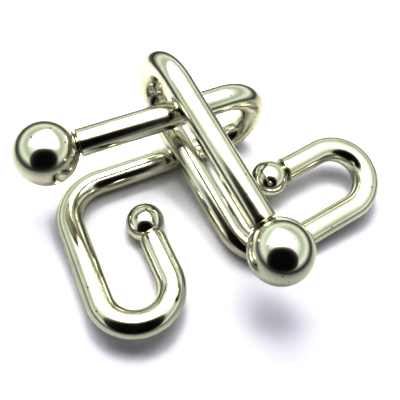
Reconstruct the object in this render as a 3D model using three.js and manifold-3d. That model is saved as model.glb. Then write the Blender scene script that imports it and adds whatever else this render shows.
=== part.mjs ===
// Two-ring disentanglement puzzle: two identical bent rods looped through each other, each with
// a large ball on one end and a small ball on the other. Millimetres, +Z up, origin on the table
// under the middle of the puzzle.
//
// One ring, from its large ball to its small ball: long leg, loop bend, lower leg, corner bend,
// hook leg, hook bend, short leg. In the ring's own frame the lower leg runs along +X from the
// origin, the hook lies in the XY plane, and the loop stands up from the lower leg.
import * as THREE from "three";
import { mergeVertices } from "three/addons/utils/BufferGeometryUtils.js";
import Module from "manifold-3d";

// Rod
const ROD_D = 6;
const LOOP_BEND_R = 9.2;
const CORNER_BEND_R = 9.7;
const HOOK_BEND_R = 7.8;
const LONG_LEG = 33.2;
const LOWER_LEG = 29.9;
const HOOK_LEG = 18.8;
const SHORT_LEG = 9.7;
const LOOP_PLANE_ANGLE = 84;

// Balls, and the turned spigots that carry them
const BIG_BALL_D = 13.4;
const SMALL_BALL_D = 8.7;
const BIG_SPIGOT_D = ROD_D * 0.7;
const SMALL_SPIGOT_D = ROD_D * 0.6;
const BORE_CLEARANCE = 0.3;
const SHOULDER_GAP = 0.3;

// How the rings lie: ring A on the table, ring B's lower leg resting across ring A's
const RING_GAP = 0.35;
const CROSSING_ON_A = 0.325;
const CROSSING_ON_B = 0.24;
const RING_A_YAW = 180;
const RING_B_YAW = -82.4;
const RING_B_ROLL = 6.5;

// Facets
const ROD_SIDES = 24;
const STEPS_PER_TURN = 32;
const BIG_BALL_SEGMENTS = 36;
const SMALL_BALL_SEGMENTS = 28;

const NICKEL = { color: 0xd6d4ca, roughness: 0.12, metalness: 1 };
const X = new THREE.Vector3(1, 0, 0);
const Y = new THREE.Vector3(0, 1, 0);
const Z = new THREE.Vector3(0, 0, 1);

const ROD_R = ROD_D / 2;
const loopAngle = THREE.MathUtils.degToRad(LOOP_PLANE_ANGLE);
const LOOP_UP = new THREE.Vector3(0, Math.cos(loopAngle), Math.sin(loopAngle));

const wasm = await Module();
wasm.setup();

// A centre line made of stations, each a point with the rod's direction there.
class CentreLine extends THREE.Curve {
  constructor(start, direction) {
    super();
    this.stations = [{ point: start.clone(), tangent: direction.clone() }];
  }

  get end() {
    return this.stations[this.stations.length - 1];
  }

  straight(length) {
    const { point, tangent } = this.end;
    this.stations.push({ point: point.clone().addScaledVector(tangent, length), tangent });
    return this;
  }

  bend(radius, degrees, axis) {
    const { point, tangent } = this.end;
    const arm = tangent.clone().cross(axis).multiplyScalar(radius);
    const centre = point.clone().sub(arm);
    const steps = Math.round((STEPS_PER_TURN * degrees) / 360);
    for (let i = 1; i <= steps; i += 1) {
      const turn = THREE.MathUtils.degToRad((degrees * i) / steps);
      this.stations.push({
        point: arm.clone().applyAxisAngle(axis, turn).add(centre),
        tangent: tangent.clone().applyAxisAngle(axis, turn),
      });
    }
    return this;
  }

  stationAt(t) {
    return this.stations[Math.round(t * (this.stations.length - 1))];
  }

  getPointAt(t) {
    return this.stationAt(t).point.clone();
  }

  getTangentAt(t) {
    return this.stationAt(t).tangent.clone();
  }
}

// Both rings are bent alike, so one centre line and one set of geometries serve both.
function ringCentreLine() {
  const start = LOOP_UP.clone().multiplyScalar(2 * LOOP_BEND_R).addScaledVector(X, LONG_LEG);
  return new CentreLine(start, X.clone().negate())
    .straight(LONG_LEG)
    .bend(LOOP_BEND_R, 180, X.clone().cross(LOOP_UP))
    .straight(LOWER_LEG)
    .bend(CORNER_BEND_R, 90, Z)
    .straight(HOOK_LEG)
    .bend(HOOK_BEND_R, 180, Z)
    .straight(SHORT_LEG);
}

// A ball's size, its spigot and bore, and how far its centre stands off the rod's shoulder.
function ballSpec(ballD, spigotD) {
  const r = ballD / 2;
  const boreR = spigotD / 2 + BORE_CLEARANCE;
  const mouth = Math.sqrt(r * r - boreR * boreR);
  const spigotLength = SHOULDER_GAP + r - BORE_CLEARANCE;
  return { r, boreR, mouth, spigotR: spigotD / 2, spigotLength, standoff: mouth + SHOULDER_GAP };
}

function toManifold(geometry) {
  const bare = geometry.clone();
  bare.deleteAttribute("normal");
  bare.deleteAttribute("uv");
  const merged = mergeVertices(bare, 1e-4);
  const mesh = new wasm.Mesh({
    numProp: 3,
    vertProperties: new Float32Array(merged.attributes.position.array),
    triVerts: new Uint32Array(merged.index.array),
  });
  return new wasm.Manifold(mesh);
}

function fromManifold(solid) {
  const mesh = solid.getMesh();
  const geometry = new THREE.BufferGeometry();
  geometry.setAttribute("position", new THREE.BufferAttribute(mesh.vertProperties, 3));
  geometry.setIndex(new THREE.BufferAttribute(mesh.triVerts, 1));
  geometry.computeVertexNormals();
  return geometry;
}

// A round spigot on the rod's end, rooted inside the rod so that the two join.
function spigotGeometry(end) {
  const { spigotR, spigotLength } = end.ball;
  const root = ROD_R;
  const length = spigotLength + root;
  const geometry = new THREE.CylinderGeometry(spigotR, spigotR, length, ROD_SIDES);
  geometry.translate(0, length / 2 - root, 0);
  geometry.applyQuaternion(new THREE.Quaternion().setFromUnitVectors(Y, end.outward));
  geometry.translate(end.point.x, end.point.y, end.point.z);
  return geometry;
}

function rodGeometry(line, ends) {
  const section = new THREE.Shape().absarc(0, 0, ROD_R, 0, 2 * Math.PI);
  const tube = new THREE.ExtrudeGeometry(section, {
    steps: line.stations.length - 1,
    curveSegments: ROD_SIDES / 2,
    extrudePath: line,
  });
  const spigots = ends.map((end) => toManifold(spigotGeometry(end)));
  return fromManifold(wasm.Manifold.union([toManifold(tube), ...spigots]));
}

// A ball turned about Y, with its blind bore opening towards -Y.
function ballGeometry(ball, segments) {
  const profile = [
    new THREE.Vector2(0, ball.r - ball.mouth),
    new THREE.Vector2(ball.boreR, ball.r - ball.mouth),
  ];
  const start = Math.asin(ball.boreR / ball.r);
  const steps = segments / 2;
  for (let i = 0; i <= steps; i += 1) {
    const polar = start + ((Math.PI - start) * i) / steps;
    const radius = i === steps ? 0 : ball.r * Math.sin(polar);
    profile.push(new THREE.Vector2(radius, -ball.r * Math.cos(polar)));
  }
  return new THREE.LatheGeometry(profile, segments);
}

function piece(name, geometry) {
  const mesh = new THREE.Mesh(geometry, new THREE.MeshStandardMaterial(NICKEL));
  mesh.name = name;
  return mesh;
}

function placedBall(name, geometry, end) {
  const mesh = piece(name, geometry);
  mesh.position.copy(end.centre);
  mesh.quaternion.setFromUnitVectors(Y, end.outward);
  return mesh;
}

const bigBall = ballSpec(BIG_BALL_D, BIG_SPIGOT_D);
const smallBall = ballSpec(SMALL_BALL_D, SMALL_SPIGOT_D);
const centreLine = ringCentreLine();

function rodEnd(station, outward, ball) {
  const centre = station.point.clone().addScaledVector(outward, ball.standoff);
  return { point: station.point, outward, ball, centre };
}

const bigEnd = rodEnd(centreLine.stations[0], X, bigBall);
const smallEnd = rodEnd(centreLine.end, centreLine.end.tangent, smallBall);
const rodShape = rodGeometry(centreLine, [bigEnd, smallEnd]);
const bigBallShape = ballGeometry(bigBall, BIG_BALL_SEGMENTS);
const smallBallShape = ballGeometry(smallBall, SMALL_BALL_SEGMENTS);

function ring(suffix, rotation, position) {
  const group = new THREE.Group();
  group.add(piece(`rod_${suffix}`, rodShape));
  group.add(placedBall(`ball_big_${suffix}`, bigBallShape, bigEnd));
  group.add(placedBall(`ball_small_${suffix}`, smallBallShape, smallEnd));
  group.quaternion.copy(rotation);
  group.position.copy(position);
  return group;
}

// Yaw about Z, then pitch and roll about the lower leg's own Y and X, in degrees.
function attitude(yaw, pitch, roll) {
  const turns = [roll, pitch, yaw].map((angle) => THREE.MathUtils.degToRad(angle));
  return new THREE.Quaternion().setFromEuler(new THREE.Euler(...turns, "ZYX"));
}

// How far a ring's lowest point lies below its own origin once it is turned.
function depthBelow(rotation) {
  const heightOf = (point, radius) => point.clone().applyQuaternion(rotation).z - radius;
  const heights = centreLine.stations.map(({ point }) => heightOf(point, ROD_R));
  heights.push(heightOf(smallEnd.centre, smallBall.r), heightOf(bigEnd.centre, bigBall.r));
  return -Math.min(...heights);
}

// Ring A lies on its lower leg and its small ball, which is thicker than the rod.
const rollA = THREE.MathUtils.radToDeg(Math.asin((smallBall.r - ROD_R) / smallEnd.centre.y));
const turnA = attitude(RING_A_YAW, 0, rollA);
const legA = X.clone().applyQuaternion(turnA);
const placeA = new THREE.Vector3(0, 0, depthBelow(turnA));

// Ring B's lower leg lies across ring A's, one rod and a small gap above it.
function placeRingB(turn) {
  const legB = X.clone().applyQuaternion(turn);
  const normal = legA.clone().cross(legB).normalize();
  const lift = Math.sign(normal.z) * (ROD_D + RING_GAP);
  return placeA.clone()
    .addScaledVector(legA, CROSSING_ON_A * LOWER_LEG)
    .addScaledVector(normal, lift)
    .addScaledVector(legB, -CROSSING_ON_B * LOWER_LEG);
}

// Ring B's slope is the one at which its hook just reaches the table.
function settledPitch() {
  let low = 0;
  let high = 45;
  for (let i = 0; i < 40; i += 1) {
    const pitch = (low + high) / 2;
    const turn = attitude(RING_B_YAW, pitch, RING_B_ROLL);
    const clear = placeRingB(turn).z > depthBelow(turn);
    low = clear ? pitch : low;
    high = clear ? high : pitch;
  }
  return low;
}

const turnB = attitude(RING_B_YAW, settledPitch(), RING_B_ROLL);

const puzzle = new THREE.Group();
puzzle.add(ring("a", turnA, placeA));
puzzle.add(ring("b", turnB, placeRingB(turnB)));
puzzle.updateMatrixWorld(true);

const extent = new THREE.Box3().setFromObject(puzzle, true);
const middle = extent.getCenter(new THREE.Vector3());
puzzle.position.set(-middle.x, -middle.y, -extent.min.z);

export default puzzle;
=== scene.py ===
"""Looks for the two-ring disentanglement puzzle, in metres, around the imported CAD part.

Two identical nickel-plated rods are looped through each other, each with a large ball on one
end and a small ball on the other. The rods and balls are remade finer than the CAD solids,
from the same sizes, and stand in for them.
"""

import math

import bmesh
import bpy
from mathutils import Euler, Matrix, Quaternion, Vector


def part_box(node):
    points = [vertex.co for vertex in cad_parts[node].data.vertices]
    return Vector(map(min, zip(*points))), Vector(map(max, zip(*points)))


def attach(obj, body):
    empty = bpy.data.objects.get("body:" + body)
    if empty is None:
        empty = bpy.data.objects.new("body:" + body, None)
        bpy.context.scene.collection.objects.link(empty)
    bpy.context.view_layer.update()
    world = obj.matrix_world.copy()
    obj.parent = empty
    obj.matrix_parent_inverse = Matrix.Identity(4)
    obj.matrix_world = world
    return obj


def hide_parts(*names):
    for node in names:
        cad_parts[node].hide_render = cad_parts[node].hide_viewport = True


MM = 0.001
X, Y, Z = Vector((1, 0, 0)), Vector((0, 1, 0)), Vector((0, 0, 1))

# The rings, in millimetres and degrees, as the CAD part has them
ROD_D = 6.0
LOOP_BEND_R = 9.2
CORNER_BEND_R = 9.7
HOOK_BEND_R = 7.8
LONG_LEG = 33.2
LOWER_LEG = 29.9
HOOK_LEG = 18.8
SHORT_LEG = 9.7
LOOP_PLANE_ANGLE = 84.0
BIG_BALL_D = 13.4
SMALL_BALL_D = 8.7
BIG_SPIGOT_D = ROD_D * 0.7
SMALL_SPIGOT_D = ROD_D * 0.6
BORE_CLEARANCE = 0.3
SHOULDER_GAP = 0.3
RING_GAP = 0.35
CROSSING_ON_A = 0.325
CROSSING_ON_B = 0.24
RING_A_YAW = 180.0
RING_B_YAW = -82.4
RING_B_ROLL = 6.5
ROD_R = ROD_D / 2
loop_angle = math.radians(LOOP_PLANE_ANGLE)
LOOP_UP = Vector((0, math.cos(loop_angle), math.sin(loop_angle)))

# Fine detail, in millimetres: rounded edges, and chamfers (length, depth) in the joint
SHOULDER_ROUND = 0.28
NECK_FILLET = 0.22
MOUTH_ROUND = 0.14
FIT_GAP = 0.03
TIP_CHAMFER = (0.25, 0.4)
BORE_CHAMFER = (0.2, 0.3)

# Fine meshing, in millimetres, degrees and sides
ROD_SIDES = 80
BEND_STEP = 2.0
LEG_STEP = 1.5
BALL_SIDES = 112
BALL_STEPS = 84
FILLET_STEPS = 4
SHOULDER_STEPS = 5
SHARP_ANGLE = 38
UV_PER_MM = 1 / (math.pi * ROD_D)

# Search for ring B's slope, in degrees
STEEPEST = 45.0
SLOPE_TRIES = 40

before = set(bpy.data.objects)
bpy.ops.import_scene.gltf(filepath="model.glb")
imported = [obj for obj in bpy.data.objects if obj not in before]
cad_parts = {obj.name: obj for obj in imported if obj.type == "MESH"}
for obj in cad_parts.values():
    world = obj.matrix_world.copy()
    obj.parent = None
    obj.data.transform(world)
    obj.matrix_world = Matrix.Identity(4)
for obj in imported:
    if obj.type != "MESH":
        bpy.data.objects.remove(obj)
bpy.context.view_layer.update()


class Station:
    """A point of the rod's centre line, with the rod's direction and a normal carried along it."""

    def __init__(self, point, tangent, normal, along):
        self.point = point
        self.tangent = tangent
        self.normal = normal
        self.along = along


class CentreLine:
    """The rod's centre line, laid leg by leg and bend by bend."""

    def __init__(self, start, direction, normal):
        self.stations = [Station(start, direction, normal, 0.0)]

    def straight(self, length):
        begin = self.stations[-1]
        steps = max(1, round(length / LEG_STEP))
        for i in range(1, steps + 1):
            way = length * i / steps
            point = begin.point + begin.tangent * way
            self.stations.append(Station(point, begin.tangent, begin.normal, begin.along + way))
        return self

    def bend(self, radius, degrees, axis):
        begin = self.stations[-1]
        arm = begin.tangent.cross(axis) * radius
        centre = begin.point - arm
        steps = round(degrees / BEND_STEP)
        for i in range(1, steps + 1):
            angle = math.radians(degrees * i / steps)
            turn = Quaternion(axis, angle)
            self.stations.append(Station(
                centre + turn @ arm,
                turn @ begin.tangent,
                turn @ begin.normal,
                begin.along + radius * angle,
            ))
        return self


def ring_centre_line():
    start = LOOP_UP * (2 * LOOP_BEND_R) + X * LONG_LEG
    line = CentreLine(start, -X, LOOP_UP)
    line.straight(LONG_LEG).bend(LOOP_BEND_R, 180, X.cross(LOOP_UP)).straight(LOWER_LEG)
    line.bend(CORNER_BEND_R, 90, Z).straight(HOOK_LEG).bend(HOOK_BEND_R, 180, Z)
    return line.straight(SHORT_LEG)


class RodEnd:
    """One end of the rod: its shoulder, the ball there, and the turned spigot that carries it."""

    def __init__(self, station, outward, ball_d, spigot_d):
        self.station = station
        self.outward = outward
        self.ball_r = ball_d / 2
        self.spigot_r = spigot_d / 2
        bore_r = self.spigot_r + BORE_CLEARANCE
        self.mouth = math.sqrt(self.ball_r ** 2 - bore_r ** 2)
        self.spigot_length = SHOULDER_GAP + self.ball_r - BORE_CLEARANCE
        self.centre = station.point + outward * (self.mouth + SHOULDER_GAP)


def attitude(yaw, pitch, roll):
    return Euler([math.radians(a) for a in (roll, pitch, yaw)], "XYZ").to_quaternion()


line = ring_centre_line()
big_end = RodEnd(line.stations[0], X, BIG_BALL_D, BIG_SPIGOT_D)
small_end = RodEnd(line.stations[-1], line.stations[-1].tangent, SMALL_BALL_D, SMALL_SPIGOT_D)


def depth_below(turn):
    heights = [(turn @ s.point).z - ROD_R for s in line.stations]
    heights += [(turn @ e.centre).z - e.ball_r for e in (big_end, small_end)]
    return -min(heights)


def ring_b_place(turn, turn_a, place_a):
    leg_a, leg_b = turn_a @ X, turn @ X
    normal = leg_a.cross(leg_b).normalized()
    lift = math.copysign(ROD_D + RING_GAP, normal.z)
    return (
        place_a + leg_a * (CROSSING_ON_A * LOWER_LEG) + normal * lift
        - leg_b * (CROSSING_ON_B * LOWER_LEG)
    )


def ring_frames():
    """Where the two rings lie, from how they rest; the box of ring A's rod settles the shift."""
    roll_a = math.degrees(math.asin((small_end.ball_r - ROD_R) / small_end.centre.y))
    turn_a = attitude(RING_A_YAW, 0, roll_a)
    place_a = Vector((0, 0, depth_below(turn_a)))
    low, high = 0.0, STEEPEST
    for _ in range(SLOPE_TRIES):
        pitch = (low + high) / 2
        turn = attitude(RING_B_YAW, pitch, RING_B_ROLL)
        if ring_b_place(turn, turn_a, place_a).z > depth_below(turn):
            low = pitch
        else:
            high = pitch
    turn_b = attitude(RING_B_YAW, low, RING_B_ROLL)
    place_b = ring_b_place(turn_b, turn_a, place_a)
    frames = {}
    for name, turn, place in (("a", turn_a, place_a), ("b", turn_b, place_b)):
        frames[name] = Matrix.Translation(place) @ turn.to_matrix().to_4x4()
    made = [frames["a"] @ p for points, _ in rod_rows() for p in points]
    middle = Vector([(min(p[i] for p in made) + max(p[i] for p in made)) / 2 for i in range(3)])
    lowest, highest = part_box("rod_a")
    shift = (lowest + highest) / 2 / MM - middle
    return {name: Matrix.Translation(shift) @ m for name, m in frames.items()}


def mesh_piece(name, rows):
    """A closed skin over rows of points: each row is (list of points, distance along)."""
    mesh = bpy.data.meshes.new(name)
    bm = bmesh.new()
    uv = bm.loops.layers.uv.new("skin")
    sides = len(rows[0][0])
    rings = [[bm.verts.new(p) for p in points] for points, _ in rows]
    first = bm.verts.new(sum(rows[0][0], Vector()) / sides)
    last = bm.verts.new(sum(rows[-1][0], Vector()) / sides)

    def face(verts, coords):
        made = bm.faces.new(verts)
        made.smooth = True
        for loop, at in zip(made.loops, coords):
            loop[uv].uv = at

    for j in range(sides):
        k = (j + 1) % sides
        u0, u1 = j / sides, (j + 1) / sides
        start, stop = rows[0][1] * UV_PER_MM, rows[-1][1] * UV_PER_MM
        face((first, rings[0][k], rings[0][j]), ((u0, start), (u1, start), (u0, start)))
        face((last, rings[-1][j], rings[-1][k]), ((u0, stop), (u0, stop), (u1, stop)))
        for i in range(len(rings) - 1):
            v0, v1 = rows[i][1] * UV_PER_MM, rows[i + 1][1] * UV_PER_MM
            face(
                (rings[i][j], rings[i][k], rings[i + 1][k], rings[i + 1][j]),
                ((u0, v0), (u1, v0), (u1, v1), (u0, v1)),
            )
    bmesh.ops.recalc_face_normals(bm, faces=bm.faces)
    bm.to_mesh(mesh)
    bm.free()
    mesh.set_sharp_from_angle(angle=math.radians(SHARP_ANGLE))
    piece = bpy.data.objects.new(name, mesh)
    bpy.context.scene.collection.objects.link(piece)
    return piece


def circle(centre, normal, binormal, radius, sides):
    points = []
    for j in range(sides):
        angle = 2 * math.pi * j / sides
        points.append(centre + (normal * math.cos(angle) + binormal * math.sin(angle)) * radius)
    return points


def end_profile(end):
    """(distance outward from the shoulder, radius) from the spigot's tip back to the full rod."""
    tip = end.spigot_length
    neck = end.spigot_r
    rows = [(tip, neck - TIP_CHAMFER[1]), (tip - TIP_CHAMFER[0], neck)]
    for i in range(FILLET_STEPS + 1):
        a = math.radians(90 * i / FILLET_STEPS)
        rows.append((NECK_FILLET * (1 - math.sin(a)), neck + NECK_FILLET * (1 - math.cos(a))))
    for i in range(SHOULDER_STEPS + 1):
        a = math.radians(90 * i / SHOULDER_STEPS)
        rows.append((
            -SHOULDER_ROUND * (1 - math.cos(a)),
            ROD_R - SHOULDER_ROUND + SHOULDER_ROUND * math.sin(a),
        ))
    return rows


def rod_rows():
    rows = []
    start, stop = big_end.station, small_end.station

    def add(station, point, radius, along):
        binormal = station.tangent.cross(station.normal)
        rows.append((circle(point, station.normal, binormal, radius, ROD_SIDES), along))

    for out, radius in end_profile(big_end):
        add(start, start.point + big_end.outward * out, radius, -out)
    for station in line.stations[1:-1]:
        add(station, station.point, ROD_R, station.along)
    for out, radius in reversed(end_profile(small_end)):
        add(stop, stop.point + small_end.outward * out, radius, stop.along + out)
    return rows


def ball_rows(end):
    """A ball turned about the spigot's line, from the bottom of its blind bore to its far pole."""
    r = end.ball_r
    bore = end.spigot_r + FIT_GAP
    depth = SHOULDER_GAP + end.mouth - end.spigot_length + BORE_CLEARANCE / 2
    profile = [(depth, bore - BORE_CHAMFER[1]), (depth - BORE_CHAMFER[0], bore)]
    lip_angle = math.asin((bore + MOUTH_ROUND) / r)
    lip = -r * math.cos(lip_angle)
    for i in range(FILLET_STEPS + 1):
        a = math.radians(90 * i / FILLET_STEPS)
        profile.append((
            lip + MOUTH_ROUND * (1 - math.sin(a)),
            bore + MOUTH_ROUND * (1 - math.cos(a)),
        ))
    for i in range(1, BALL_STEPS):
        polar = lip_angle + (math.pi - lip_angle) * i / BALL_STEPS
        profile.append((-r * math.cos(polar), r * math.sin(polar)))
    side = end.outward.cross(Z) if abs(end.outward.z) < 0.9 else end.outward.cross(X)
    side.normalize()
    other = end.outward.cross(side)
    rows = []
    for along, radius in profile:
        centre = end.centre + end.outward * along
        rows.append((circle(centre, side, other, radius, BALL_SIDES), along))
    return rows


def placed(rows, matrix):
    """The rows where a ring lies, in metres."""
    return [([(matrix @ p) * MM for p in points], along) for points, along in rows]


# Materials

NICKEL_WARM = (0.675, 0.66, 0.565, 1)
NICKEL_COOL = (0.75, 0.74, 0.665, 1)
NICKEL_GLANCE = (0.97, 0.97, 0.95, 1)
# Noise and cells per metre
DRIFT_SCALE = 90
WAVE_SCALE = 130
SMUDGE_SCALE = 170
HAZE_SCALE = 420
SPECK_SCALE = 380
# How far each piece's pattern is moved from the last one's
PATTERN_STEP = (1.7, 0.9, 2.3)
# Polishing lines: noise around a piece, and along it per rod's girth
ROD_LINES = (360, 1.5)
BALL_LINES = (3.6, 36)
# Roughness of clean and hazy plate, and what a smudge adds
POLISH = (0.13, 0.18)
SMUDGE = 0.05
# Bumps: strength, and height in metres
WAVE_BUMP = (0.25, 0.00004)
LINE_BUMP = (0.12, 0.000004)
PIT_BUMP = (0.10, 0.00001)


def colour_sockets(node):
    """A colour mixing node's two colour inputs and its colour output."""
    first, second = [socket for socket in node.inputs if socket.type == "RGBA"]
    return first, second, next(socket for socket in node.outputs if socket.type == "RGBA")


def nickel(name, seed, polishing):
    """Polished nickel plate, warm and mirror-like, with faint lines, haze and small marks."""
    mat = bpy.data.materials.new(name)
    mat.use_nodes = True
    tree = mat.node_tree
    nodes, links = tree.nodes, tree.links
    shader = nodes["Principled BSDF"]
    shader.inputs["Metallic"].default_value = 1.0
    shader.inputs["Specular Tint"].default_value = NICKEL_GLANCE

    coords = nodes.new("ShaderNodeTexCoord")

    def shifted(vector):
        node = nodes.new("ShaderNodeMapping")
        node.inputs["Location"].default_value = [seed * step for step in PATTERN_STEP]
        links.new(vector, node.inputs["Vector"])
        return node.outputs["Vector"]

    def noise(vector, scale, detail, roughness=0.5):
        node = nodes.new("ShaderNodeTexNoise")
        node.inputs["Scale"].default_value = scale
        node.inputs["Detail"].default_value = detail
        node.inputs["Roughness"].default_value = roughness
        links.new(vector, node.inputs["Vector"])
        return node.outputs["Fac"]

    def ramp(value, low, high, start, stop):
        node = nodes.new("ShaderNodeMapRange")
        node.inputs["From Min"].default_value = low
        node.inputs["From Max"].default_value = high
        node.inputs["To Min"].default_value = start
        node.inputs["To Max"].default_value = stop
        links.new(value, node.inputs["Value"])
        return node.outputs["Result"]

    def math_node(operation, a, b):
        node = nodes.new("ShaderNodeMath")
        node.operation = operation
        links.new(a, node.inputs[0])
        if isinstance(b, float):
            node.inputs[1].default_value = b
        else:
            links.new(b, node.inputs[1])
        return node.outputs["Value"]

    def bump(height, size, normal=None):
        node = nodes.new("ShaderNodeBump")
        node.inputs["Strength"].default_value, node.inputs["Distance"].default_value = size
        links.new(height, node.inputs["Height"])
        if normal is not None:
            links.new(normal, node.inputs["Normal"])
        return node.outputs["Normal"]

    def wound(counts):
        """The skin's two directions wound round a tube, which has no break where it closes."""
        skin = nodes.new("ShaderNodeSeparateXYZ")
        tube = nodes.new("ShaderNodeCombineXYZ")
        links.new(coords.outputs["UV"], skin.inputs["Vector"])
        around, along = counts
        turn = math_node("MULTIPLY", skin.outputs["X"], 2 * math.pi)
        radius = around / (2 * math.pi)
        for axis, way in (("X", "COSINE"), ("Y", "SINE")):
            links.new(math_node("MULTIPLY", math_node(way, turn, 0.0), radius), tube.inputs[axis])
        links.new(math_node("MULTIPLY", skin.outputs["Y"], float(along)), tube.inputs["Z"])
        return shifted(tube.outputs["Vector"])

    space = shifted(coords.outputs["Object"])

    # Plate colour: a broad drift between warmer and cooler nickel, with faint handling haze
    drift = noise(space, DRIFT_SCALE, 3)
    haze = noise(space, HAZE_SCALE, 5, 0.6)
    tint = nodes.new("ShaderNodeValToRGB")
    tint.color_ramp.elements[0].position = 0.3
    tint.color_ramp.elements[0].color = NICKEL_WARM
    tint.color_ramp.elements[1].position = 0.72
    tint.color_ramp.elements[1].color = NICKEL_COOL
    links.new(drift, tint.inputs["Fac"])

    # A few dark specks in the plate, in the same cells as the small dings
    ding = nodes.new("ShaderNodeTexVoronoi")
    ding.inputs["Scale"].default_value = SPECK_SCALE
    links.new(space, ding.inputs["Vector"])
    speck = nodes.new("ShaderNodeMix")
    speck.data_type = "RGBA"
    speck.blend_type = "MULTIPLY"
    speck.inputs["Factor"].default_value = 1.0
    tinted, darkened, speckled = colour_sockets(speck)
    links.new(tint.outputs["Color"], tinted)
    links.new(ramp(ding.outputs["Distance"], 0.045, 0.085, 0.3, 1.0), darkened)
    links.new(speckled, shader.inputs["Base Color"])

    # Roughness: mirror polish, a little duller in smudged patches
    base_rough = ramp(haze, 0.35, 0.75, *POLISH)
    smudge = ramp(noise(space, SMUDGE_SCALE, 2), 0.52, 0.7, 0.0, SMUDGE)
    rough = math_node("ADD", base_rough, smudge)
    links.new(rough, shader.inputs["Roughness"])

    # Surface: soft waviness of the plate, polishing lines, and a few small dings
    lines = noise(wound(polishing), 1, 4, 0.7)
    wave = noise(space, WAVE_SCALE, 1)
    pit = ramp(ding.outputs["Distance"], 0.0, 0.16, 0.0, 1.0)
    normal = bump(wave, WAVE_BUMP)
    normal = bump(lines, LINE_BUMP, normal)
    normal = bump(pit, PIT_BUMP, normal)
    links.new(normal, shader.inputs["Normal"])
    return mat


def plain(name, colour, roughness):
    """A flat matt material for the stage."""
    mat = bpy.data.materials.new(name)
    mat.use_nodes = True
    shader = mat.node_tree.nodes["Principled BSDF"]
    shader.inputs["Base Color"].default_value = colour
    shader.inputs["Roughness"].default_value = roughness
    shader.inputs["Specular IOR Level"].default_value = 0.2
    return mat


# The puzzle

frames = ring_frames()
rod_skin = rod_rows()
big_skin = ball_rows(big_end)
small_skin = ball_rows(small_end)
seed = 0
for suffix, matrix in frames.items():
    for node, rows, polishing in (
        (f"rod_{suffix}", rod_skin, ROD_LINES),
        (f"ball_big_{suffix}", big_skin, BALL_LINES),
        (f"ball_small_{suffix}", small_skin, BALL_LINES),
    ):
        seed += 1
        slot = f"nickel_{node}"
        piece = mesh_piece(f"{node}_fine", placed(rows, matrix))
        piece.data.materials.append(nickel(slot, seed, polishing))
        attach(piece, f"ring_{suffix}")
        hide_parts(node)


# Camera, in millimetres and degrees, with its shift as a share of the sensor

SENSOR = 36
LENS = 46.269
SHIFT = (0.015425, -0.04605)
DISTANCE = 118.78
ELEVATION = 59.56
AZIMUTH = 33.4
ROLL = 10.24
TARGET = Vector((-3.38, 3.25, 8.0))


def aim(azimuth, elevation):
    """The direction from the target towards a camera that looks along +Y at azimuth 0."""
    az, el = math.radians(azimuth), math.radians(elevation)
    return Vector((-math.sin(az) * math.cos(el), -math.cos(az) * math.cos(el), math.sin(el)))


toward = aim(AZIMUTH, ELEVATION)
right = (-toward).cross(Z).normalized()
up = right.cross(-toward)
roll = math.radians(ROLL)
cam_x = right * math.cos(roll) + up * math.sin(roll)
cam_y = up * math.cos(roll) - right * math.sin(roll)
cam_data = bpy.data.cameras.new("camera")
cam_data.sensor_width = SENSOR
cam_data.lens = LENS
cam_data.shift_x, cam_data.shift_y = SHIFT
cam_data.clip_start = 0.001
cam_data.clip_end = 20
camera = bpy.data.objects.new("camera", cam_data)
axes = Matrix((cam_x, cam_y, toward)).transposed().to_4x4()
camera.matrix_world = Matrix.Translation((TARGET + toward * DISTANCE) * MM) @ axes
bpy.context.scene.collection.objects.link(camera)
bpy.context.scene.camera = camera


# Stage and light

PAPER_ROUGHNESS = 0.8
MATT = 0.9
PAPER = (0.95, 0.94, 0.96, 1)
# The paper as the metal mirrors it: a darker copy of it, painted shade
SHADED_MIRRORED_PAPER = (0.765, 0.77, 0.74, 1)
FLOOR_HALF = 1.5
FLOOR_DROP = 2e-5
# The paper glows by itself from the first distance on, fully at the second, in metres
PAPER_GLOW_FROM = (0.09, 0.40)
PAPER_GLOW = 0.75

# The darker table round the paper: its inner and outer radius and its height, in metres
TABLE_RADII = (0.13, 1.4)
TABLE_HEIGHT = 0.0005
TABLE_SIDES = 64
TABLE_COLOUR = (0.35, 0.36, 0.34, 1)

# Dark cards about the camera: half width, top, bottom, and how far behind it, in millimetres
FLAGS = (
    ("flag_core", 88, 4, -138, 3, (0.004, 0.002, 0.003, 1)),
    ("flag_middle", 128, 13, -170, 5, (0.050, 0.034, 0.031, 1)),
    ("flag_wide", 180, 27, -200, 8, (0.19, 0.195, 0.175, 1)),
)
FLAG_SIDES = 48
FLAG_SQUARENESS = 0.75
FLAG_TAPER = 0.22

# The diffuser's middle line and half width there, in millimetres
DIFFUSER_ROWS = (
    (Vector((-20, -2, 141)), 120),
    (Vector((-6, 32, 158)), 118),
    (Vector((8, 64, 160)), 100),
    (Vector((21, 95, 143)), 62),
    (Vector((32, 121, 108)), 12),
)
DIFFUSER_CELLS = 24
DIFFUSER_DROOP = 0.0016
DIFFUSER_COLOUR = (0.985, 0.985, 1.0, 1)
DIFFUSER_STRENGTH = 6.0
EDGE_GLOW = 0.125
SIDE_FALLOFF = 1.6
END_FALLOFF_FROM = 0.45

# The sky that the metal mirrors, from the horizon up: bright low down and overhead
SKY = (
    (0.0, (0.31, 0.32, 0.305, 1)),
    (0.22, (0.78, 0.82, 0.81, 1)),
    (0.55, (0.55, 0.59, 0.57, 1)),
    (1.0, (1, 1, 1, 1)),
)
FILL = (0.172, 0.177, 0.200, 1)
BACKDROP = (0.9, 0.9, 0.92, 1)

EXPOSURE = 0.32
TONE_CURVE = ((0.12, 0.035), (0.38, 0.28), (0.68, 0.86))


def stage_mesh(name, verts, faces, material):
    mesh = bpy.data.meshes.new(name)
    mesh.from_pydata(verts, [], faces)
    mesh.materials.append(material)
    obj = bpy.data.objects.new(name, mesh)
    bpy.context.scene.collection.objects.link(obj)
    return obj


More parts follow.
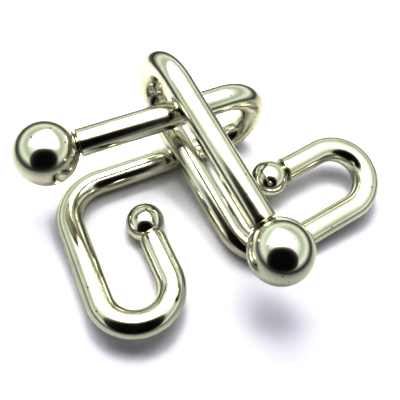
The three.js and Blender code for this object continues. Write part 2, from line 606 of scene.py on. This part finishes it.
def reflection_only(obj):
    """Only the metal mirrors this: it isn't seen, casts no shadow and doesn't tint the paper."""
    obj.visible_camera = False
    obj.visible_diffuse = False
    obj.visible_shadow = False


def paper(name):
    """White paper that glows far from the puzzle; where metal mirrors it, its colour is darker, a
    painted shade.
    """
    mat = plain(name, PAPER, PAPER_ROUGHNESS)
    nodes, links = mat.node_tree.nodes, mat.node_tree.links
    shader = nodes["Principled BSDF"]
    rays = nodes.new("ShaderNodeLightPath")
    shade = nodes.new("ShaderNodeValToRGB")
    shade.color_ramp.elements[0].color = PAPER
    # Painted shade: the paper is darker where the metal mirrors it
    shade.color_ramp.elements[1].color = SHADED_MIRRORED_PAPER
    links.new(rays.outputs["Is Glossy Ray"], shade.inputs["Fac"])
    links.new(shade.outputs["Color"], shader.inputs["Base Color"])

    where = nodes.new("ShaderNodeNewGeometry")
    distance = nodes.new("ShaderNodeVectorMath")
    distance.operation = "LENGTH"
    links.new(where.outputs["Position"], distance.inputs[0])
    glow = nodes.new("ShaderNodeMapRange")
    glow.inputs["From Min"].default_value = PAPER_GLOW_FROM[0]
    glow.inputs["From Max"].default_value = PAPER_GLOW_FROM[1]
    glow.inputs["To Max"].default_value = PAPER_GLOW
    links.new(distance.outputs["Value"], glow.inputs["Value"])
    seen = nodes.new("ShaderNodeMath")
    seen.operation = "MULTIPLY"
    links.new(glow.outputs["Result"], seen.inputs[0])
    links.new(rays.outputs["Is Camera Ray"], seen.inputs[1])
    shader.inputs["Emission Color"].default_value = (1, 1, 1, 1)
    links.new(seen.outputs["Value"], shader.inputs["Emission Strength"])
    return mat


def floor():
    near, far = -FLOOR_HALF, FLOOR_HALF
    corners = [(x, y, -FLOOR_DROP) for x, y in ((near, near), (far, near), (far, far), (near, far))]
    stage_mesh("floor", corners, [(0, 1, 2, 3)], paper("floor_paper"))


def table_beyond():
    """The darker table past the paper, mirrored low on the metal."""
    verts, faces = [], []
    for radius in TABLE_RADII:
        for j in range(TABLE_SIDES):
            a = 2 * math.pi * j / TABLE_SIDES
            verts.append((radius * math.cos(a), radius * math.sin(a), TABLE_HEIGHT))
    for j in range(TABLE_SIDES):
        k = (j + 1) % TABLE_SIDES
        faces.append((j, k, TABLE_SIDES + k, TABLE_SIDES + j))
    tabletop = plain("table_beyond", TABLE_COLOUR, MATT)
    reflection_only(stage_mesh("table_beyond", verts, faces, tabletop))


def squared(value):
    return math.copysign(abs(value) ** FLAG_SQUARENESS, value)


def flag(name, half_width, top, bottom, behind, colour):
    """A dark card about the camera, rounded at its corners and narrower at the top."""
    middle = (top + bottom) / 2
    half_height = (top - bottom) / 2
    place = TARGET + toward * (DISTANCE + behind)
    corners = []
    for i in range(FLAG_SIDES):
        a = 2 * math.pi * i / FLAG_SIDES
        rise = squared(math.sin(a))
        x = half_width * squared(math.cos(a)) * (1 - FLAG_TAPER * (1 + rise))
        corners.append((place + cam_x * x + cam_y * (middle + half_height * rise)) * MM)
    card = stage_mesh(name, corners, [tuple(range(FLAG_SIDES))], plain(name, colour, MATT))
    reflection_only(card)


def glowing(name, colour, strength, attribute):
    """A light whose strength is scaled from point to point by an attribute of its mesh."""
    mat = bpy.data.materials.new(name)
    mat.use_nodes = True
    tree = mat.node_tree
    tree.nodes.clear()
    light = tree.nodes.new("ShaderNodeEmission")
    light.inputs["Color"].default_value = colour
    share = tree.nodes.new("ShaderNodeAttribute")
    share.attribute_name = attribute
    scale = tree.nodes.new("ShaderNodeMath")
    scale.operation = "MULTIPLY"
    scale.inputs[1].default_value = strength
    tree.links.new(share.outputs["Fac"], scale.inputs[0])
    tree.links.new(scale.outputs["Value"], light.inputs["Strength"])
    out = tree.nodes.new("ShaderNodeOutputMaterial")
    tree.links.new(light.outputs["Emission"], out.inputs["Surface"])
    return mat


def diffuser():
    """An umbrella-like diffuser arching over the far side of the object from above the camera."""
    verts, faces, glow = [], [], []
    for i in range(DIFFUSER_CELLS + 1):
        way = (len(DIFFUSER_ROWS) - 1) * i / DIFFUSER_CELLS
        k = min(int(way), len(DIFFUSER_ROWS) - 2)
        (here, half_here), (there, half_there) = DIFFUSER_ROWS[k:k + 2]
        centre = here.lerp(there, way - k)
        half = half_here + (half_there - half_here) * (way - k)
        tail = max(0, (i / DIFFUSER_CELLS - END_FALLOFF_FROM) / (1 - END_FALLOFF_FROM))
        for j in range(DIFFUSER_CELLS + 1):
            across = 2 * j / DIFFUSER_CELLS - 1
            x = half * across
            verts.append((centre + cam_x * x - Z * (DIFFUSER_DROOP * x * x)) * MM)
            share = (1 - across ** 2) ** SIDE_FALLOFF * (1 - tail ** 2)
            glow.append(EDGE_GLOW + (1 - EDGE_GLOW) * share)
    row = DIFFUSER_CELLS + 1
    for i in range(DIFFUSER_CELLS):
        for j in range(DIFFUSER_CELLS):
            a = i * row + j
            faces.append((a, a + 1, a + row + 1, a + row))
    glowing_cloth = glowing("diffuser_glow", DIFFUSER_COLOUR, DIFFUSER_STRENGTH, "glow")
    obj = stage_mesh("diffuser", verts, faces, glowing_cloth)
    obj.data.attributes.new("glow", "FLOAT", "POINT").data.foreach_set("value", glow)
    obj.visible_camera = False
    obj.visible_shadow = False


def studio_sky():
    """A graded sky for the metal, a dimmer and bluer one for the paper, and a pale backdrop."""
    world = bpy.data.worlds.new("studio")
    world.use_nodes = True
    bpy.context.scene.world = world
    nodes, links = world.node_tree.nodes, world.node_tree.links
    ways = nodes.new("ShaderNodeTexCoord")
    height = nodes.new("ShaderNodeSeparateXYZ")
    shades = nodes.new("ShaderNodeValToRGB")
    stops = shades.color_ramp.elements
    for height_there, _ in SKY[1:-1]:
        stops.new(height_there)
    for stop, (_, colour) in zip(stops, SKY):
        stop.color = colour
    links.new(ways.outputs["Generated"], height.inputs["Vector"])
    links.new(height.outputs["Z"], shades.inputs["Fac"])
    rays = nodes.new("ShaderNodeLightPath")
    shown = shades.outputs["Color"]
    for ray, colour in (("Is Diffuse Ray", FILL), ("Is Camera Ray", BACKDROP)):
        swap = nodes.new("ShaderNodeMix")
        swap.data_type = "RGBA"
        usual, instead, mixed = colour_sockets(swap)
        instead.default_value = colour
        links.new(shown, usual)
        links.new(rays.outputs[ray], swap.inputs["Factor"])
        shown = mixed
    links.new(shown, nodes["Background"].inputs["Color"])


def tone():
    view = bpy.context.scene.view_settings
    view.view_transform = "Standard"
    view.exposure = EXPOSURE
    view.use_curve_mapping = True
    mapping = view.curve_mapping
    combined = mapping.curves[3]
    for at, value in TONE_CURVE:
        combined.points.new(at, value)
    mapping.extend = "HORIZONTAL"
    mapping.update()


floor()
table_beyond()
for settings in FLAGS:
    flag(*settings)
diffuser()
studio_sky()
tone()
